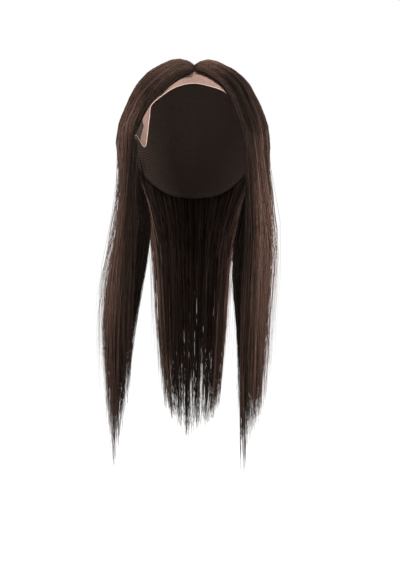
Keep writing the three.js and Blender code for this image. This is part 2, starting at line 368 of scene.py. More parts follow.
# %% [markdown]
# ## The lace
#
# The lace front is a sheer net that the front hairs are knotted into. Along its length it follows
# the free edge, and across it reaches from there to the seam. At the right temple the edge stands
# away in a loose flap with a fold. First the lace is measured: its length, its width at each place
# and the area that it has when it is laid out flat.

# %% Lace measures
LACE_LIFT = 0.6
FOLD_SHARE = 0.55
EDGE_STEPS = 600


def lace_place(place, share, extra=0.0):
    """Points on the lace: place runs along its cuts, share from the seam (0) to the edge (1)."""
    read = {c: smooth_table(LACE_CUTS, "place", c, place) for c in LACE_COLUMNS}
    ridge = np.clip(np.minimum(share / FOLD_SHARE, (1 - share) / (1 - FOLD_SHARE)), 0, 1)
    stand = LACE_LIFT + np.maximum(read["flare"], 0) * share**2 + read["fold"] * ridge + extra
    heading = read["seam_heading"] + (read["edge_heading"] - read["seam_heading"]) * share
    drop = read["seam_drop"] + (read["edge_drop"] - read["seam_drop"]) * share
    return form_place(heading, drop, stand)


cuts = np.linspace(0, len(LACE_CUTS) - 1, EDGE_STEPS)
edge_line = lace_place(cuts, np.ones_like(cuts))
run = np.concatenate([[0], np.cumsum(np.linalg.norm(np.diff(edge_line, axis=0), axis=1))])
width = np.linalg.norm(edge_line - lace_place(cuts, np.zeros_like(cuts)), axis=1)
length, widest = run[-1], width.max()

# %% [markdown]
# A flat grid is turned by 45 degrees and trimmed with bisect_plane to a strip of diamonds, and the
# strip is laid on the form. The net repeats every 1.3 mm. Real lace of this kind is finer, but a
# thread needs some width to be a mesh. The part of the flap behind its fold is noted, because it
# gets a thread of its own.

# %% Lace strip
LACE_PITCH = 1.3
FLAP = {"from": 0.5, "fold": 2.0, "to": 3.1}
FOLD_CURVE = {"size": 50, "power": 4}
SHORT_EDGE = 2e-5

bm = bmesh.new()
reach = (length + widest) / math.sqrt(2)
cells = int(reach / (LACE_PITCH * MM))
bmesh.ops.create_grid(bm, x_segments=cells, y_segments=cells, size=reach / 2)
turn = np.array([[1, -1, 0], [1, 1, 0], [0, 0, math.sqrt(2)]]) / math.sqrt(2)
for vert in bm.verts:
    vert.co = turn @ np.array(vert.co) + np.array([length / 2, widest / 2, 0])
for point, outward in (
    ((0, 0, 0), (0, -1, 0)),
    ((0, widest, 0), (0, 1, 0)),
    ((0, 0, 0), (-1, 0, 0)),
    ((length, 0, 0), (1, 0, 0)),
):
    geom = bm.verts[:] + bm.edges[:] + bm.faces[:]
    bmesh.ops.bisect_plane(bm, geom=geom, plane_co=point, plane_no=outward, clear_outer=True)
flat = np.array([v.co for v in bm.verts])
along = np.interp(flat[:, 0], run, cuts)
reach_to_seam = np.interp(flat[:, 0], run, width)
past_seam = flat[:, 1] > reach_to_seam
share = np.clip(1 - flat[:, 1] / np.maximum(reach_to_seam, TINY), 0, 1)
outside = [f for f in bm.faces if all(past_seam[v.index] for v in f.verts)]
for vert, place in zip(bm.verts, lace_place(along, share)):
    vert.co = place
fold_place = FLAP["fold"] + FOLD_CURVE["size"] * (1 - share) ** FOLD_CURVE["power"]
behind_fold = (along > FLAP["from"]) & (along < np.minimum(fold_place, FLAP["to"]))
sheer_and_shaded = {v for v, behind in zip(bm.verts, behind_fold) if behind}
bmesh.ops.delete(bm, geom=outside, context="FACES")
bmesh.ops.dissolve_degenerate(bm, dist=SHORT_EDGE, edges=bm.edges)
bmesh.ops.recalc_face_normals(bm, faces=bm.faces)
print(len(bm.faces), "diamonds")

# %% [markdown]
# The wireframe operator turns the edges of the diamonds into threads. Behind the fold the net lies
# over dark hair, so its thread there is thinner, and more of the hair shows through, and it is
# painted darker, painted shade for the dark hair seen through it.

# %% Lace threads
LACE_THREADS = (0.54, 0.28)

# Dull beige thread: a net close up, and a sheer tint from further away.
lace_thread = plain_material("beige_lace_thread", "#80675c", roughness=0.7, shine=0.3)
# The same thread with painted shade: darker, as the dark hair behind it shows through.
lace_painted_shade = plain_material("painted_shade_lace_thread", "#362b27", roughness=0.7, shine=0.2)
# A paler thread, a painted highlight where the free edge catches the light, so that it shows as a
# line.
lace_edge = plain_material("lace_edge_painted_highlight", "#a48c80", roughness=0.7, shine=0.3)

sheer_and_shaded_faces = [f for f in bm.faces if all(v in sheer_and_shaded for v in f.verts)]
other_faces = [f for f in bm.faces if not all(v in sheer_and_shaded for v in f.verts)]
# Slot 1, behind the fold, is the thinner thread, and its material is the painted shade copy.
for slot, faces in enumerate((other_faces, sheer_and_shaded_faces)):
    made = bmesh.ops.wireframe(
        bm,
        faces=faces,
        thickness=LACE_THREADS[slot] * MM,
        use_replace=True,
        use_boundary=True,
        use_even_offset=False,
    )
    for face in made["faces"]:
        face.material_index = slot
lace_mesh = bpy.data.meshes.new("lace_net")
bm.to_mesh(lace_mesh)
bm.free()
lace_mesh.materials.append(lace_thread)
lace_mesh.materials.append(lace_painted_shade)
lace = bpy.data.objects.new("lace_net", lace_mesh)
show(lace, "lace", "lace_front")
surface = sum(p.area for p in lace_mesh.polygons)
print(f"the threads cover {surface / 2:.5f} m2")

# %% [markdown]
# ## How the hair hangs
#
# Each fall is a curtain of hair. It leaves the parting, runs down over the cap by the shortest way
# and then hangs. At each level below the cap the curtain is half an oval in plan, from its start
# edge, in front, through its middle to its end edge. The lifts, headings, roots, fullness and
# levels are the ones that the solids of the hair were made from, so the strands fill the same
# form. The other rows of a fall belong to the strands alone:
#
# - temple_shift moves the start edge sideways, at each of the pins on the form.
# - thin_edge says how far the outside is thinned, at distances in millimetres below the crown.
# - shade_reach and front_shade say how far the painted shade of the start edge reaches and how
#   dark it is, at shares of the way down.
# - creases are painted shade, in the folds between locks or over broader bands: middle, half
#   width, first, last and depth. A negative depth paints a lighter streak, a painted highlight.
# - tips give the place of each lock along the curtain and the level that its longest hairs reach.

# %% Tables of the falls
HAIR_INNER_LIFT = 2.2
ROOT_LIFT = 0.9
PARTING_PILE = 2.8
PARTING_HALF_GAP = 0.6
CROWN_Y = 24
HAIR_LIFT = [
    {"share": 0, "lift": 4},
    {"share": 0.04, "lift": 8.5},
    {"share": 0.14, "lift": 12.5},
    {"share": 0.3, "lift": 14.5},
    {"share": 0.6, "lift": 13.5},
    {"share": 1, "lift": 12.5},
]
LEVEL_COLUMNS = ("level", "start_x", "start_y", "mid_x", "mid_y", "end_x", "end_y", "thick")
FALLS = {
    "hair_right": {
        "side": -1,
        "fullness": 1.1,
        "headings": (54, 105),
        "root_y": (-40, CROWN_Y),
        "temple_shift": [0, 0, 0, 0, -0.01, -0.02, 0.06, 0.09, 0.08, 0],
        "shade_reach": [
            (0, 0.18), (0.3, 0.22), (0.335, 0.22), (0.37, 0.16), (0.41, 0.11), (0.44, 0.14),
            (0.47, 0.28), (0.55, 0.2), (0.72, 0.22), (0.76, 0.4), (0.79, 0.55), (0.82, 0.55),
            (0.86, 0.32),
        ],
        "front_shade": [(0, 0.4), (0.3, 0.35), (0.45, 0.5), (0.6, 0.52), (0.72, 0.35), (0.85, 0.2)],
        "painted_creases": [
            (0.36, 0.02, 0.12, 0.42, 0.38),
            (0.62, 0.02, 0.12, 0.4, 0.38),
            (0.2, 0.15, 0.19, 0.36, 0.16),
        ],
        "thin_edge": [
            (100, 0), (130, 0.4), (150, 1.1), (165, 1.4),
            (190, 1.35), (210, 0.8), (250, 0.35), (360, 0),
        ],
        "levels": [
            (-140, 68.5, -66, 86, -18, 56, 20, 12),
            (-175, 69, -66, 89.5, -24, 47, 14, 12),
            (-207, 70, -66, 95, -32, 49.5, 4, 12),
            (-250, 72, -66, 100.5, -42, 57, -12, 12),
            (-290, 74, -68, 103, -50, 68.5, -30, 12),
            (-330, 75, -70, 100.5, -56, 69.5, -42, 12),
            (-370, 77.5, -70, 97.5, -60, 75, -48, 12),
            (-405, 83, -70, 95, -63, 81.5, -54, 10),
            (-434, 87, -69, 89, -65, 87, -60, 6),
        ],
        "tips": [
            (0.0, -378), (0.08, -390), (0.18, -418), (0.3, -432), (0.44, -400),
            (0.58, -402), (0.69, -437), (0.8, -429), (0.91, -390), (1.0, -376),
        ],
    },
    "hair_left": {
        "side": 1,
        "fullness": 1,
        "headings": (47, 105),
        "root_y": (-34, CROWN_Y),
        "temple_shift": [0, 0, 0.01, 0.03, 0.06, 0.05, 0.03, 0, 0, 0],
        "shade_reach": [
            (0, 0.14), (0.12, 0.2), (0.24, 0.42), (0.4, 0.35), (0.47, 0.22), (0.53, 0.15),
            (0.6, 0.12), (0.68, 0.11), (0.72, 0.2), (0.77, 0.28), (0.83, 0.32), (0.88, 0.2),
        ],
        "front_shade": [(0, 0.2), (0.24, 0.28), (0.36, 0.42), (0.58, 0.5), (0.7, 0.4), (0.82, 0.2)],
        "painted_creases": [
            (0.12, 0.045, 0.18, 0.45, 0.38),
            (0.25, 0.03, 0.19, 0.4, 0.38),
            (0.42, 0.02, 0.2, 0.42, 0.38),
            (0.38, 0.25, 0.13, 0.54, 0.2),
            # A painted highlight on the crown: a crease of negative depth.
            (0.65, 0.4, -0.05, 0.22, -0.2),
        ],
        "thin_edge": [
            (100, 0), (140, 0.4), (170, 1.1), (210, 1.3), (240, 1.1), (290, 0.35), (320, 0),
        ],
        "levels": [
            (-140, 62, -68, 89, -18, 59, 20, 12),
            (-175, 63, -68, 92.5, -24, 49.5, 15, 12),
            (-207, 62.5, -68, 94, -32, 41.5, 7, 12),
            (-245, 60, -68, 90, -42, 41, -10, 12),
            (-287, 58, -70, 85, -52, 47.5, -30, 12),
            (-330, 57.5, -72, 81.5, -58, 47.5, -43, 12),
            (-370, 57, -72, 79, -62, 50.5, -50, 12),
            (-405, 57, -72, 70.5, -64, 53.5, -56, 10),
            (-447, 55.5, -70, 57.5, -66, 55.5, -62, 6),
        ],
        "tips": [
            (0.0, -442), (0.09, -431), (0.19, -424), (0.32, -412), (0.44, -403),
            (0.56, -404), (0.68, -409), (0.81, -421), (0.91, -434), (1.0, -438),
        ],
    },
    "hair_back": {
        "side": 1,
        "fullness": 1,
        "headings": (106, 254),
        "root_y": (CROWN_Y, CROWN_Y),
        "thin_edge": [(100, 0), (150, 0.2), (350, 0)],
        "levels": [
            (-135, 68, 40, 0, 109, -68, 40, 12),
            (-165, 56, 47, 0, 103, -58, 47, 12),
            (-200, 46, 50, -2, 96, -50, 50, 11),
            (-250, 42, 54, -3, 91, -47, 54, 10),
            (-300, 40, 57, -3, 88, -45, 57, 10),
            (-350, 36, 60, -3, 86, -41, 60, 9),
            (-392, 25, 65, -3, 84, -31, 65, 8),
            (-428, 10, 72, -3, 81, -16, 72, 5),
        ],
        "tips": [
            (0.06, -392), (0.19, -408), (0.31, -416), (0.44, -424),
            (0.56, -428), (0.69, -418), (0.81, -405), (0.94, -390),
        ],
    },
}

for name, fall in FALLS.items():
    print(name, "has", len(fall["levels"]), "levels and", len(fall["tips"]), "locks")

# %% [markdown]
# A hair is led through pins: ten on the form, from the parting down to where it is widest, and one
# at each level below. At each pin it has a place across the curtain, 0 to 1 from start edge to end
# edge, and a layer, 0 to 1 from the cap outwards. The lowest levels are opened out, because the
# hairs there hang almost straight: a fall narrows only because they end at different heights. A
# smooth curve joins the pins.

# %% Pins of a curtain
FORM_PINS = np.array([0, 0.035, 0.1, 0.2, 0.36, 0.46, 0.56, 0.78, 0.89, 1])
PINS_ON_FORM = len(FORM_PINS)
RISEN_PIN = 2  # the first pin where a hair has its full height
OUTLINE = slice(1, 7)  # the columns of a level that draw its oval
THICKEST = 0.75  # of the way in to the middle of the oval
STRAIGHT_FROM = -365
STRAIGHTEN = 0.6
LONGEST_LEVEL = -480


def hanging_rows(fall):
    """The levels of a fall, with the lowest ones opened out and one more for its longest hairs."""
    rows = np.array(fall["levels"], float)
    low = rows[:, 0] < STRAIGHT_FROM
    above = rows[~low][-1]
    rows[low, OUTLINE] += STRAIGHTEN * (above[OUTLINE] - rows[low, OUTLINE])
    longest = rows[-1].copy()
    longest[0] = LONGEST_LEVEL
    return np.vstack([rows, longest])


def pins_on_form(fall, across, layer, root_shift):
    side = fall["side"]
    first, last = fall["root_y"]
    root_y = first + (last - first) * across + root_shift[:, 1:]
    out = side * (PARTING_HALF_GAP + root_shift[:, :1]) / FORM_HALF_BREADTH + 0 * across
    back = root_y / FORM_HALF_LENGTH
    root = np.stack([out, back, np.sqrt(1 - out**2 - back**2)], axis=-1)
    first, last = fall["headings"]
    turn = np.radians(first + (last - first) * across)
    end = np.stack([side * np.sin(turn), -np.cos(turn), np.zeros_like(turn)], axis=-1)
    angle = np.arccos(np.clip((root * end).sum(-1, keepdims=True), -1, 1))
    share = FORM_PINS[None, :, None]
    way = (np.sin((1 - share) * angle) * root + np.sin(share * angle) * end) / np.sin(angle)
    outer = fall["fullness"] * smooth_table(HAIR_LIFT, "share", "lift", FORM_PINS)
    lift = HAIR_INNER_LIFT + (outer - HAIR_INNER_LIFT) * layer
    lift[:, 0] = ROOT_LIFT + PARTING_PILE * np.clip(layer[:, RISEN_PIN], 0, 1)
    size = np.array([FORM_HALF_BREADTH, FORM_HALF_LENGTH, FORM_DOME])
    return (size + lift[..., None]) * way - np.array([0, 0, FORM_DOME])


def pins_below(fall, across, layer):
    row = dict(zip(LEVEL_COLUMNS, hanging_rows(fall).T))
    centre_x = (row["start_x"] + row["end_x"]) / 2
    centre_y = (row["start_y"] + row["end_y"]) / 2
    c, s = np.cos(np.pi * across), np.sin(np.pi * across)
    out_x = (row["start_x"] - centre_x) * c + (row["mid_x"] - centre_x) * s
    out_y = (row["start_y"] - centre_y) * c + (row["mid_y"] - centre_y) * s
    reach = np.hypot(out_x, out_y) + TINY
    keep = 1 - (1 - layer) * np.minimum(row["thick"], THICKEST * reach) / reach
    x = fall["side"] * (centre_x + out_x * keep)
    y = centre_y + out_y * keep
    return np.stack([x, y, np.broadcast_to(row["level"], across.shape)], axis=-1)


def hair_pins(fall, across, layer, root_shift):
    """The points, in millimetres, that each hair is led through. across and layer have a column
    for each pin, and root_shift moves the root sideways from the parting and back along it."""
    on_form, below = slice(None, PINS_ON_FORM), slice(PINS_ON_FORM, None)
    upper = pins_on_form(fall, across[:, on_form], layer[:, on_form], root_shift)
    return np.concatenate([upper, pins_below(fall, across[:, below], layer[:, below])], axis=1)


def along_pins(pins, along):
    """A smooth curve through each hair's pins, read at shares of the way along."""
    last = pins.shape[1] - 1
    ends = [2 * pins[:, :1] - pins[:, 1:2], pins, 2 * pins[:, -1:] - pins[:, -2:-1]]
    padded = np.concatenate(ends, axis=1)
    place = np.clip(along, 0, 1) * last
    i = np.minimum(place.astype(int), last - 1)
    w = (place - i)[..., None]
    p = [np.take_along_axis(padded, (i + k)[..., None], axis=1) for k in range(4)]
    bend = 2 * p[0] - 5 * p[1] + 4 * p[2] - p[3]
    twist = 3 * (p[1] - p[2]) + p[3] - p[0]
    return p[1] + 0.5 * w * (p[2] - p[0] + w * (bend + w * twist))


for name, fall in FALLS.items():
    print(name, "is led through", PINS_ON_FORM + len(hanging_rows(fall)), "pins")

# %% [markdown]
# ## Strands
#
# A hair is a thin tube that narrows to its tip. Blender's own hair curves would draw it well, but
# a stored part needs real meshes, so each strand is a three-sided tube, and one mesh holds a few
# thousand of them, filled from arrays. Real hair is 0.07 mm thick, far too fine to show here, so
# a strand is drawn as thick as several of them lying together. Each strand also carries its tone,
# and a UV map that lays its length along V and its tone along U, so that a small picture can hold
# the colours of them all.

# %% Tubes along paths
UV_MARGIN = 0.02
NO_LENGTH = 1e-12


def tube_mesh(name, paths, radius, facing, tone, sides=3):
    """One mesh of closed tubes. paths is strands x rings x 3 in metres, radius strands x rings,
    facing a direction for each strand, and tone a value for each ring."""
    strands, rings = radius.shape
    forward = np.gradient(paths, axis=1)
    forward /= np.linalg.norm(forward, axis=-1, keepdims=True) + NO_LENGTH
    side = np.cross(np.broadcast_to(facing[:, None], forward.shape), forward)
    side /= np.linalg.norm(side, axis=-1, keepdims=True) + NO_LENGTH
    up = np.cross(forward, side)
    turn = np.arange(sides) * 2 * np.pi / sides
    ring = np.cos(turn)[:, None] * side[:, :, None] + np.sin(turn)[:, None] * up[:, :, None]
    corners = paths[:, :, None] + radius[:, :, None, None] * ring
    number = np.arange(strands * rings * sides).reshape(strands, rings, sides)
    after = np.roll(number, -1, axis=2)
    walls = np.stack([number[:, :-1], after[:, :-1], after[:, 1:], number[:, 1:]], axis=-1)
    walls = walls.reshape(-1, 4)
    caps = np.concatenate([number[:, 0, ::-1], number[:, -1]])
    mesh = bpy.data.meshes.new(name)
    mesh.from_pydata(corners.reshape(-1, 3).tolist(), [], walls.tolist() + caps.tolist())

    stored = mesh.attributes.new("tone", "FLOAT", "POINT")
    stored.data.foreach_set("value", np.repeat(tone.astype(np.float32), sides))
    turned = np.broadcast_to(np.arange(sides) / sides, number.shape)
    u = UV_MARGIN + (1 - 3 * UV_MARGIN) * tone[:, :1, None] + UV_MARGIN * turned
    v = np.linspace(UV_MARGIN, 1 - UV_MARGIN, rings)[None, :, None]
    v = np.broadcast_to(v, number.shape)
    flat = np.stack([np.broadcast_to(u, number.shape), v], axis=-1).reshape(-1, 2)
    used = np.concatenate([walls.ravel(), caps.ravel()])
    layout = mesh.uv_layers.new(name="OFBake")
    layout.data.foreach_set("uv", flat[used].astype(np.float32).ravel())
    mesh.shade_smooth()
    return mesh


print("a strand is a closed tube of three sides")

# %% [markdown]
# The lace and the cap both end in a bound edge: a thread along the free edge of the lace, painted
# pale as a painted highlight, and a dark rolled hem round the cap, from one end of the lace to the
# other behind. Each is one of the tubes that the hair is made of, with more sides.

# %% Bound edges
EDGE_RADIUS = 0.24
EDGE_SIDES = 6
HEM_RADIUS = 1.1
HEM_SIDES = 8
EDGE_RINGS = 260
UPWARD = np.array([[0.1, 0.2, 1.0]])
EVEN_TONE = 0.5


def bound_edge(name, path, radius_mm, sides, material):
    radius = np.full((1, EDGE_RINGS), radius_mm * MM)
    tone = np.full((1, EDGE_RINGS), EVEN_TONE)
    mesh = tube_mesh(name, path[None], radius, UPWARD, tone, sides)
    mesh.materials.append(material)
    return bpy.data.objects.new(name, mesh)


edge_at = np.linspace(0, len(LACE_CUTS) - 1, EDGE_RINGS)
edge_path = lace_place(edge_at, np.ones_like(edge_at), LACE_THREADS[0] / 2)
edge = bound_edge("lace_edge", edge_path, EDGE_RADIUS, EDGE_SIDES, lace_edge)
show(edge, "lace", "lace_front")

hem_at = np.linspace(LACE_END_HEADING, 360 - LACE_END_HEADING, EDGE_RINGS)
hem_at = np.where(hem_at > 180, hem_at - 360, hem_at)
hem_path = form_place(hem_at, rim_drop(hem_at), CAP_LIFT + CAP_WALL / 2)
hem = bound_edge("cap_hem", hem_path, HEM_RADIUS, HEM_SIDES, hem_tape)
show(hem, "cap_net", "wig_cap")

# %% [markdown]
# ## Hair material
#
# The hair is dark brown human hair, washed and combed straight. The fine scales of a hair give it
# a soft shine along its length, and no two hairs have quite the same brown. Each strand carries a
# tone, which holds painted shade and a few painted highlights as well as its own brown, and a ramp
# turns that into its colour. The shine is tinted, because much of it comes back through the brown
# of the hair.

# %% Hair material
HAIR_TONES = [(0.0, "#100c0a"), (0.35, "#2d211c"), (0.7, "#5a443b"), (1.0, "#846759")]

# Near black where shade is painted into the tone, to warm brown, with a soft shine and no sparkle.
brown_hair, shader = new_material("brown_human_hair")
tone = add_node(brown_hair, "ShaderNodeAttribute", attribute_name="tone")
ramp = add_node(brown_hair, "ShaderNodeValToRGB", {"Fac": tone.outputs["Fac"]})
for i, (place, colour) in enumerate(HAIR_TONES):
    stop = ramp.color_ramp.elements[i] if i < 2 else ramp.color_ramp.elements.new(place)
    stop.position = place
    stop.color = linear(colour)
brown_hair.node_tree.links.new(ramp.outputs["Color"], shader.inputs["Base Color"])
shader.inputs["Roughness"].default_value = 0.42
shader.inputs["Specular IOR Level"].default_value = 0.05
shader.inputs["Specular Tint"].default_value = linear("#e8cdbb")
print("hair tones:", [colour for _, colour in HAIR_TONES])

# %% [markdown]
# ## Growing the falls
#
# Hairs in a fall don't hang one by one. They gather, first in fine wisps all the way down and
# then in the pointed locks that end the fall. So each strand starts evenly spread over its
# curtain and is drawn towards the middle of its wisp and lock as it goes down. A fall is grown in
# layers: thick strands underneath, darkened with painted shade, finer and lighter ones on top and,
# at the sides, a sparse row of fine hairs along the lace, also darkened with painted shade. In
# these tables a place along a strand is a share of the way from root to lowest level, and a layer a
# share of the curtain's thickness.

# %% Layers of strands
# The low tones of the under layer and of the hairline are painted shade; on top the hair keeps its
# own brown.
UNDER = {"piece": "under", "count": 1400, "layers": (0.12, 0.55), "thick": 0.85, "tone": 0.08}
TOP = {"piece": "top", "count": 2400, "layers": (0.45, 1.06), "thick": 0.5, "tone": 0.58}
HAIRLINE = {"piece": "hairline", "count": 300, "layers": (0.0, 0.15), "thick": 0.3, "tone": 0.2}
STRANDS = {
    "hair_right": [UNDER, TOP, HAIRLINE],
    "hair_left": [UNDER, TOP, HAIRLINE],
    "hair_back": [UNDER | {"count": 1200, "thick": 1.2}, TOP | {"count": 1700, "thick": 0.7}],
}
print(sum(row["count"] for rows in STRANDS.values() for row in rows), "strands")

# %% [markdown]
# First each strand gets its place in the curtain, its wisp and its lock. Deep hairs are rooted
# further down the cap, and those near the surface beside the parting. A few strands are strays,
# which hardly keep to a wisp or a lock.

# %% Scatter strands over a curtain
LAYER_CROWD = (1.5, 1.4)
ROOTS = {"deep": 0.5, "under": (0.02, 0.2), "top": 0.03, "hairline": (0, 0.28)}
HAIRLINE_WIDTH = 0.12
WISP = {"count": 120, "flat": 7, "from": 0.3, "to": 0.75, "drift_mm": 0.8}
LOCK = {"from_mm": 300, "to_mm": 432, "pull": 0.72, "blur": 0.025, "middle": 0.5}
STRAY = {"share": 0.09, "pull": 0.15, "stand": 0.4, "ripple_mm": 2.2, "curl_mm": 7, "thick": 0.6}


def scatter(fall, row, rng):
    n = row["count"]
    low, high = row["layers"]
    hair = SimpleNamespace(count=n, piece=row["piece"], is_side="temple_shift" in fall)
    levels = hanging_rows(fall)[:, 0]
    hair.down = np.linspace(0, 1, PINS_ON_FORM + len(levels))
    hair.depth = np.concatenate([np.zeros(PINS_ON_FORM), -levels])
    hair.across = (rng.permutation(n) + rng.random(n)) / n
    hair.layer = low + (high - low) * rng.beta(*LAYER_CROWD, n)
    deep_start = rng.uniform(*ROOTS["under"], n)
    top_start = ROOTS["top"] * rng.random(n) ** 2
    hair.start = np.where(hair.layer < ROOTS["deep"], deep_start, top_start)
    if hair.piece == "hairline":
        hair.across *= HAIRLINE_WIDTH
        hair.start = rng.uniform(*ROOTS["hairline"], n)

    wisp_across = rng.random(WISP["count"])
    wisp_layer = rng.uniform(low, high, WISP["count"])
    off_across = np.abs(hair.across[:, None] - wisp_across)
    off_layer = np.abs(hair.layer[:, None] - wisp_layer)
    hair.wisp = (WISP["flat"] * off_across + off_layer).argmin(axis=1)
    hair.wisp_across, hair.wisp_layer = wisp_across[hair.wisp], wisp_layer[hair.wisp]

    tips = np.array(fall["tips"])
    near = hair.across + rng.normal(0, LOCK["blur"], n)
    hair.lock = np.abs(near[:, None] - tips[:, 0]).argmin(axis=1)
    hair.lock_across, hair.lock_level = tips[hair.lock].T
    hair.stray = rng.random(n) < STRAY["share"]
    hair.stout = np.where(hair.stray, STRAY["thick"], 1.0)
    return hair


print(WISP["count"], "wisps in each layer of a fall")

# %% [markdown]
# Then each strand is led down, pin by pin. Wisps and locks draw it in. Where a fall hangs free its
# outside is thinned: most hairs are drawn inwards there and only a few stay out. The inner edge
# of a side fall is left full.

# %% Gather wisps and locks
WISP_PULL = {"under": 0.35, "top": 0.8, "hairline": 0.8}
DRAWN_IN = {"stray": 0.5, "power": 0.25}
INNER_EDGE = (0.6, 0.85)


def gather(fall, hair, rng):
    held = np.where(hair.stray, STRAY["pull"], 1)[:, None]
    wisp_pull = held * WISP_PULL[hair.piece] * smooth_step(hair.down, WISP["from"], WISP["to"])
    lock_pull = held * LOCK["pull"] * smooth_step(hair.depth, LOCK["from_mm"], LOCK["to_mm"])
    across = hair.across[:, None] + (hair.wisp_across - hair.across)[:, None] * wisp_pull
    across = across + (hair.lock_across[:, None] - across) * lock_pull
    layer = hair.layer[:, None] + (hair.wisp_layer - hair.layer)[:, None] * wisp_pull
    thinned = np.interp(hair.depth, *np.array(fall["thin_edge"]).T)
    stray_drawn = DRAWN_IN["stray"] * rng.random(hair.count)
    tidy_drawn = rng.random(hair.count) ** DRAWN_IN["power"]
    drawn_in = np.where(hair.stray, stray_drawn, tidy_drawn)
    if hair.is_side:
        thinned = thinned * (1 - smooth_step(across, *INNER_EDGE))
    layer = layer - thinned * drawn_in[:, None]
    layer = layer + (LOCK["middle"] - layer) * lock_pull
    return across, layer, lock_pull


print("locks close from", LOCK["from_mm"], "to", LOCK["to_mm"], "mm below the crown")

# %% [markdown]
# At its edges a fall is flat. In front it lies close to the cap, and the sparse row of fine hairs
# there is knotted into the lace a little ahead of the rest.

# %% Lay the edges
FRONT = {"flat": 0.22, "from": -0.03, "on_form": 0.3, "below": 0.12}
TEMPLE_REACH = (0.05, 0.4)
AHEAD = {"most": 0.25, "crowd": 1.4, "less": 0.92, "less_over": (0.03, 0.2), "lies_back": 0.2}
BACK_EDGE = {"flat": 0.4, "over": (-0.05, 0.12)}


def lay_edges(fall, hair, across, layer, rng):
    on_form = np.arange(len(hair.down)) < PINS_ON_FORM
    if hair.is_side:
        reach = np.where(on_form, FRONT["on_form"], FRONT["below"])
        inward = smooth_step(across, FRONT["from"], reach)
        layer = layer * (FRONT["flat"] + (1 - FRONT["flat"]) * inward)
        shift = np.zeros(len(hair.down))
        shift[:PINS_ON_FORM] = fall["temple_shift"]
        across = across + shift * (1 - smooth_step(across, *TEMPLE_REACH))
    if hair.piece == "hairline":
        less = AHEAD["less"] * smooth_step(hair.start, *AHEAD["less_over"])
        ahead = AHEAD["most"] * rng.random(hair.count) ** AHEAD["crowd"] * (1 - less)
        laid_back = smooth_step(hair.down - hair.start[:, None], 0, AHEAD["lies_back"])
        across = across - ahead[:, None] * (1 - laid_back)
    inward = np.where(on_form, 1, smooth_step(1 - across, *BACK_EDGE["over"]))
    return across, layer * (BACK_EDGE["flat"] + (1 - BACK_EDGE["flat"]) * inward)


print("the front edge keeps", FRONT["flat"], "of its layer, the back edge", BACK_EDGE["flat"])

# %% [markdown]
# The top layer is not even. Shallow furrows run down it, and where it hangs free a few wisps, some
# single hairs and the strays stand off it.

# %% Furrows and loose hair
FURROWS = {"count": 6, "deep": 0.16, "over": (0.05, 0.2)}
PROUD = {"share": 0.06, "stand": (0.15, 0.55)}
SPARSE = {"share": 0.06, "stand": 0.5}
LOOSE = {"from_mm": 60, "to_mm": 230, "held": 0.6}


def stand_off(hair, across, layer, lock_pull, rng):
    n, wisps = hair.count, WISP["count"]
    furrows = 1 - np.abs(np.sin(np.pi * across * FURROWS["count"]))
    layer = layer - FURROWS["deep"] * furrows * smooth_step(hair.down, *FURROWS["over"])
    proud = (rng.random(wisps) < PROUD["share"]) * rng.uniform(*PROUD["stand"], wisps)
    sparse = (rng.random(n) < SPARSE["share"]) * rng.uniform(0, SPARSE["stand"], n)
    astray = hair.stray * np.abs(rng.normal(0, STRAY["stand"], n))
    off = np.maximum(astray, np.maximum(sparse, proud[hair.wisp]))
    free = smooth_step(hair.depth, LOOSE["from_mm"], LOOSE["to_mm"])
    return layer + off[:, None] * free * (1 - LOOSE["held"] * lock_pull)


print(f"{PROUD['share']:.0%} of the wisps and {SPARSE['share']:.0%} of the hairs stand off")

# %% [markdown]
# Each strand rises from its root, which lies in the cap's net. The roots are spread a little to
# both sides of their row, and further at the crown, where the hair of the back starts.

# %% Lead strands down
ROOTED_LAYER = -0.11
RISE = (-0.02, 0.07)
ROOTS_OUT_MM = (-0.5, 0.6)
ROOTS_BACK_MM = (0, 1.5)
CROWN_SPREAD_MM = np.array([3, 6])


def lead(fall, hair, rng):
    n = hair.count
    across, layer, lock_pull = gather(fall, hair, rng)
    across, layer = lay_edges(fall, hair, across, layer, rng)
    if hair.piece == "top":
        layer = stand_off(hair, across, layer, lock_pull, rng)
    risen = smooth_step(hair.down - hair.start[:, None], *RISE)
    layer = ROOTED_LAYER + (layer - ROOTED_LAYER) * risen
    spread = np.stack([rng.normal(*ROOTS_OUT_MM, n), rng.normal(*ROOTS_BACK_MM, n)], axis=1)
    if not hair.is_side:
        spread = np.abs(rng.normal(0, 1, (n, 2))) * CROWN_SPREAD_MM
    return hair_pins(fall, across, layer, spread)


print("roots lie at layer", ROOTED_LAYER)

# %% [markdown]
# No hair hangs quite straight. A whole wisp drifts to one side, each hair has its own small ripple
# and its end turns a little. Stray hairs do all of this more.

# %% Sway
TIDY = {"ripple_mm": 0.6, "curl_mm": 1.8}
SWAYS = (0.35, 0.8)
CURLS_MM = (330, 460)
SIDEWAYS = np.array([1, 1, 0])


def sway(hair, points, rng):
    pins = len(hair.down)
    drift = WISP["drift_mm"] * np.cumsum(rng.normal(0, 1, (WISP["count"], pins, 3)), axis=1)
    drift = (drift - drift[:, PINS_ON_FORM : PINS_ON_FORM + 1])[hair.wisp]
    size = np.where(hair.stray, STRAY["ripple_mm"], TIDY["ripple_mm"])[:, None, None]
    ripple = size * rng.normal(0, 1, (hair.count, pins, 3))
    size = np.where(hair.stray, STRAY["curl_mm"], TIDY["curl_mm"])[:, None, None]
    at_end = smooth_step(hair.depth, *CURLS_MM)[:, None]
    curl = size * rng.normal(0, 1, (hair.count, 1, 3)) * at_end
    hanging = smooth_step(hair.down, *SWAYS)[:, None]
    return points + SIDEWAYS * (hanging * (drift + ripple) + curl)


print("ends turn by about", TIDY["curl_mm"], "mm, and those of strays by", STRAY["curl_mm"])

# %% [markdown]
# Few hairs are as long as their lock, so it thins out to a point, and a few stouter ones in the
# longest lock of a side reach past it. The rings of a strand lie closer where it bends, and those
# of the hanging part are shifted a little, so that they don't line up from strand to strand.

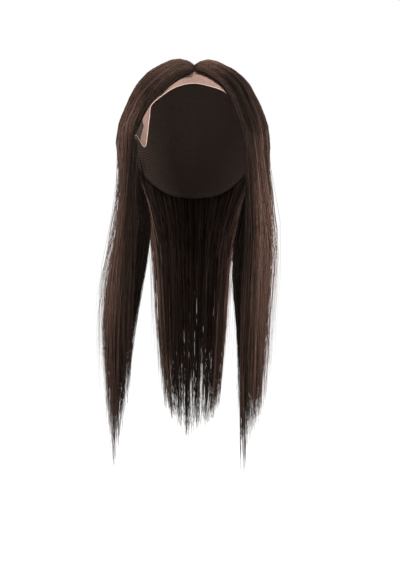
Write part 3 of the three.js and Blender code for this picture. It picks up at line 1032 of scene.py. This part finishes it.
# %% Ends and rings
LOCK_END = {"thins_mm": 125, "thin": 0.56, "full": 0.62, "back": 1.1, "past_mm": 4, "short_mm": 40}
LONG_HAIRS = {"count": 9, "past_mm": (4, 24), "thick": 1.8}
RING_PLACES = np.array([0, 0.8, 1.8, 2.9, 3.8, 4.9, 6.1, 7.2, 8.4, 9.9, 12.1, 14.2, 16.5, 19])
RING_SHARES = RING_PLACES / RING_PLACES[-1]
RING_SHIFT = {"from": 0.5, "most": 0.03}


def places_along(hair, rng):
    """Where the rings of each strand lie, as shares of its length and of the way along its pins."""
    n, pins = hair.count, len(hair.down)
    lowest = hair.lock_level.min()
    fullness = LOCK_END["back"]
    if hair.is_side:
        lengths = (lowest, lowest + LOCK_END["short_mm"])
        fullness = np.interp(hair.lock_level, lengths, (LOCK_END["full"], LOCK_END["thin"]))
    end = hair.lock_level - LOCK_END["past_mm"] + LOCK_END["thins_mm"] * rng.random(n) ** fullness
    if hair.is_side:
        longest = rng.permutation(np.flatnonzero(hair.lock_level == lowest))[: LONG_HAIRS["count"]]
        end[longest] = lowest - rng.uniform(*LONG_HAIRS["past_mm"], len(longest))
        hair.stout[longest] = LONG_HAIRS["thick"]
    below = np.arange(PINS_ON_FORM, pins)
    reach = np.interp(-end, hair.depth[below], below) / (pins - 1)
    share = np.repeat(RING_SHARES[None], n, axis=0)
    shifted = (RING_SHARES > RING_SHIFT["from"]) & (RING_SHARES < 1)
    share[:, shifted] += rng.uniform(-RING_SHIFT["most"], RING_SHIFT["most"], (n, shifted.sum()))
    return share, hair.start[:, None] + (reach - hair.start)[:, None] * share


print(len(RING_SHARES), "rings to a strand")

# %% [markdown]
# The tone of a strand varies a little from wisp to wisp and from hair to hair. Shade is painted
# into the tone where the hair lies under the rest: along the start edge and inside a fall it is
# nearly black, and so it is in the creases, while a crease of negative depth paints a lighter
# streak, a painted highlight. Every strand also gets painted shade at its root.

# %% Shade strands
TONE_SPREAD = {"wisp": 0.06, "hair": 0.11}
FULL_SHADE = 0.25
# Painted shade inside a fall, where its back half is seen from within.
INSIDE_SHADE = {"shade": 0.4, "from": 0.62, "to": 0.85, "along": (0.4, 0.5)}
CREASE_FADE = 0.07
ROOT_SHADE = {"dark": 0.4, "over": 0.1}


def shade(fall, row, hair, share, along, rng):
    tone = row["tone"] + rng.normal(0, TONE_SPREAD["hair"], hair.count)
    tone = tone + rng.normal(0, TONE_SPREAD["wisp"], WISP["count"])[hair.wisp]
    tone = np.repeat(tone[:, None], share.shape[1], axis=1)
    if hair.is_side:
        # Painted shade along the start edge, inside the fall and in its creases.
        reach = np.interp(along, *np.array(fall["shade_reach"]).T)
        in_front = 1 - smooth_step(hair.across[:, None], FULL_SHADE * reach, reach)
        tone = tone - in_front * np.interp(along, *np.array(fall["front_shade"]).T)
        inside = INSIDE_SHADE["shade"] * smooth_step(hair.across, INSIDE_SHADE["from"], INSIDE_SHADE["to"])
        tone = tone - inside[:, None] * smooth_step(along, *INSIDE_SHADE["along"])
        # Each crease paints shade into the tone, or a painted highlight where its depth is
        # negative.
        for middle, half_width, first, last, depth in fall["painted_creases"]:
            deep = depth * np.exp(-(((hair.across - middle) / half_width) ** 2))
            opening = smooth_step(along, first, first + CREASE_FADE)
            closing = smooth_step(along, last - CREASE_FADE, last)
            tone = tone - deep[:, None] * opening * (1 - closing)
    # Painted shade at the root.
    at_root = 1 - smooth_step(share, 0, ROOT_SHADE["over"])
    return np.clip(tone, 0, 1) * (1 - ROOT_SHADE["dark"] * at_root)


print("a root is", ROOT_SHADE["dark"], "darker than the rest of its strand")

# %% [markdown]
# A strand is thin at its root and narrows again towards its tip. Now every layer of every fall can
# be grown.

# %% Grow strands
THICK_SPREAD = (0.7, 1.25)
TAPER = {"root": 0.5, "fills": 6, "from": 0.72, "loses": 0.82}
SEED = 18


def grow(fall, row, rng):
    """Paths and radii in metres, and tones, for the strands of one layer of a fall."""
    hair = scatter(fall, row, rng)
    points = sway(hair, lead(fall, hair, rng), rng)
    share, along = places_along(hair, rng)
    thick = row["thick"] * rng.uniform(*THICK_SPREAD, hair.count) * hair.stout
    taper = np.minimum(1, TAPER["root"] + TAPER["fills"] * share)
    taper = taper * (1 - TAPER["loses"] * smooth_step(share, TAPER["from"], 1))
    tone = shade(fall, row, hair, share, along, rng)
    return MM * along_pins(points, along), MM * thick[:, None] / 2 * taper, tone


rng = np.random.default_rng(SEED)
for node, rows in STRANDS.items():
    for row in rows:
        paths, radius, tone = grow(FALLS[node], row, rng)
        facing = rng.normal(0, 1, (row["count"], 3))
        mesh = tube_mesh(f"{node}_{row['piece']}", paths, radius, facing, tone)
        mesh.materials.append(brown_hair)
        show(bpy.data.objects.new(mesh.name, mesh), "hair", node)
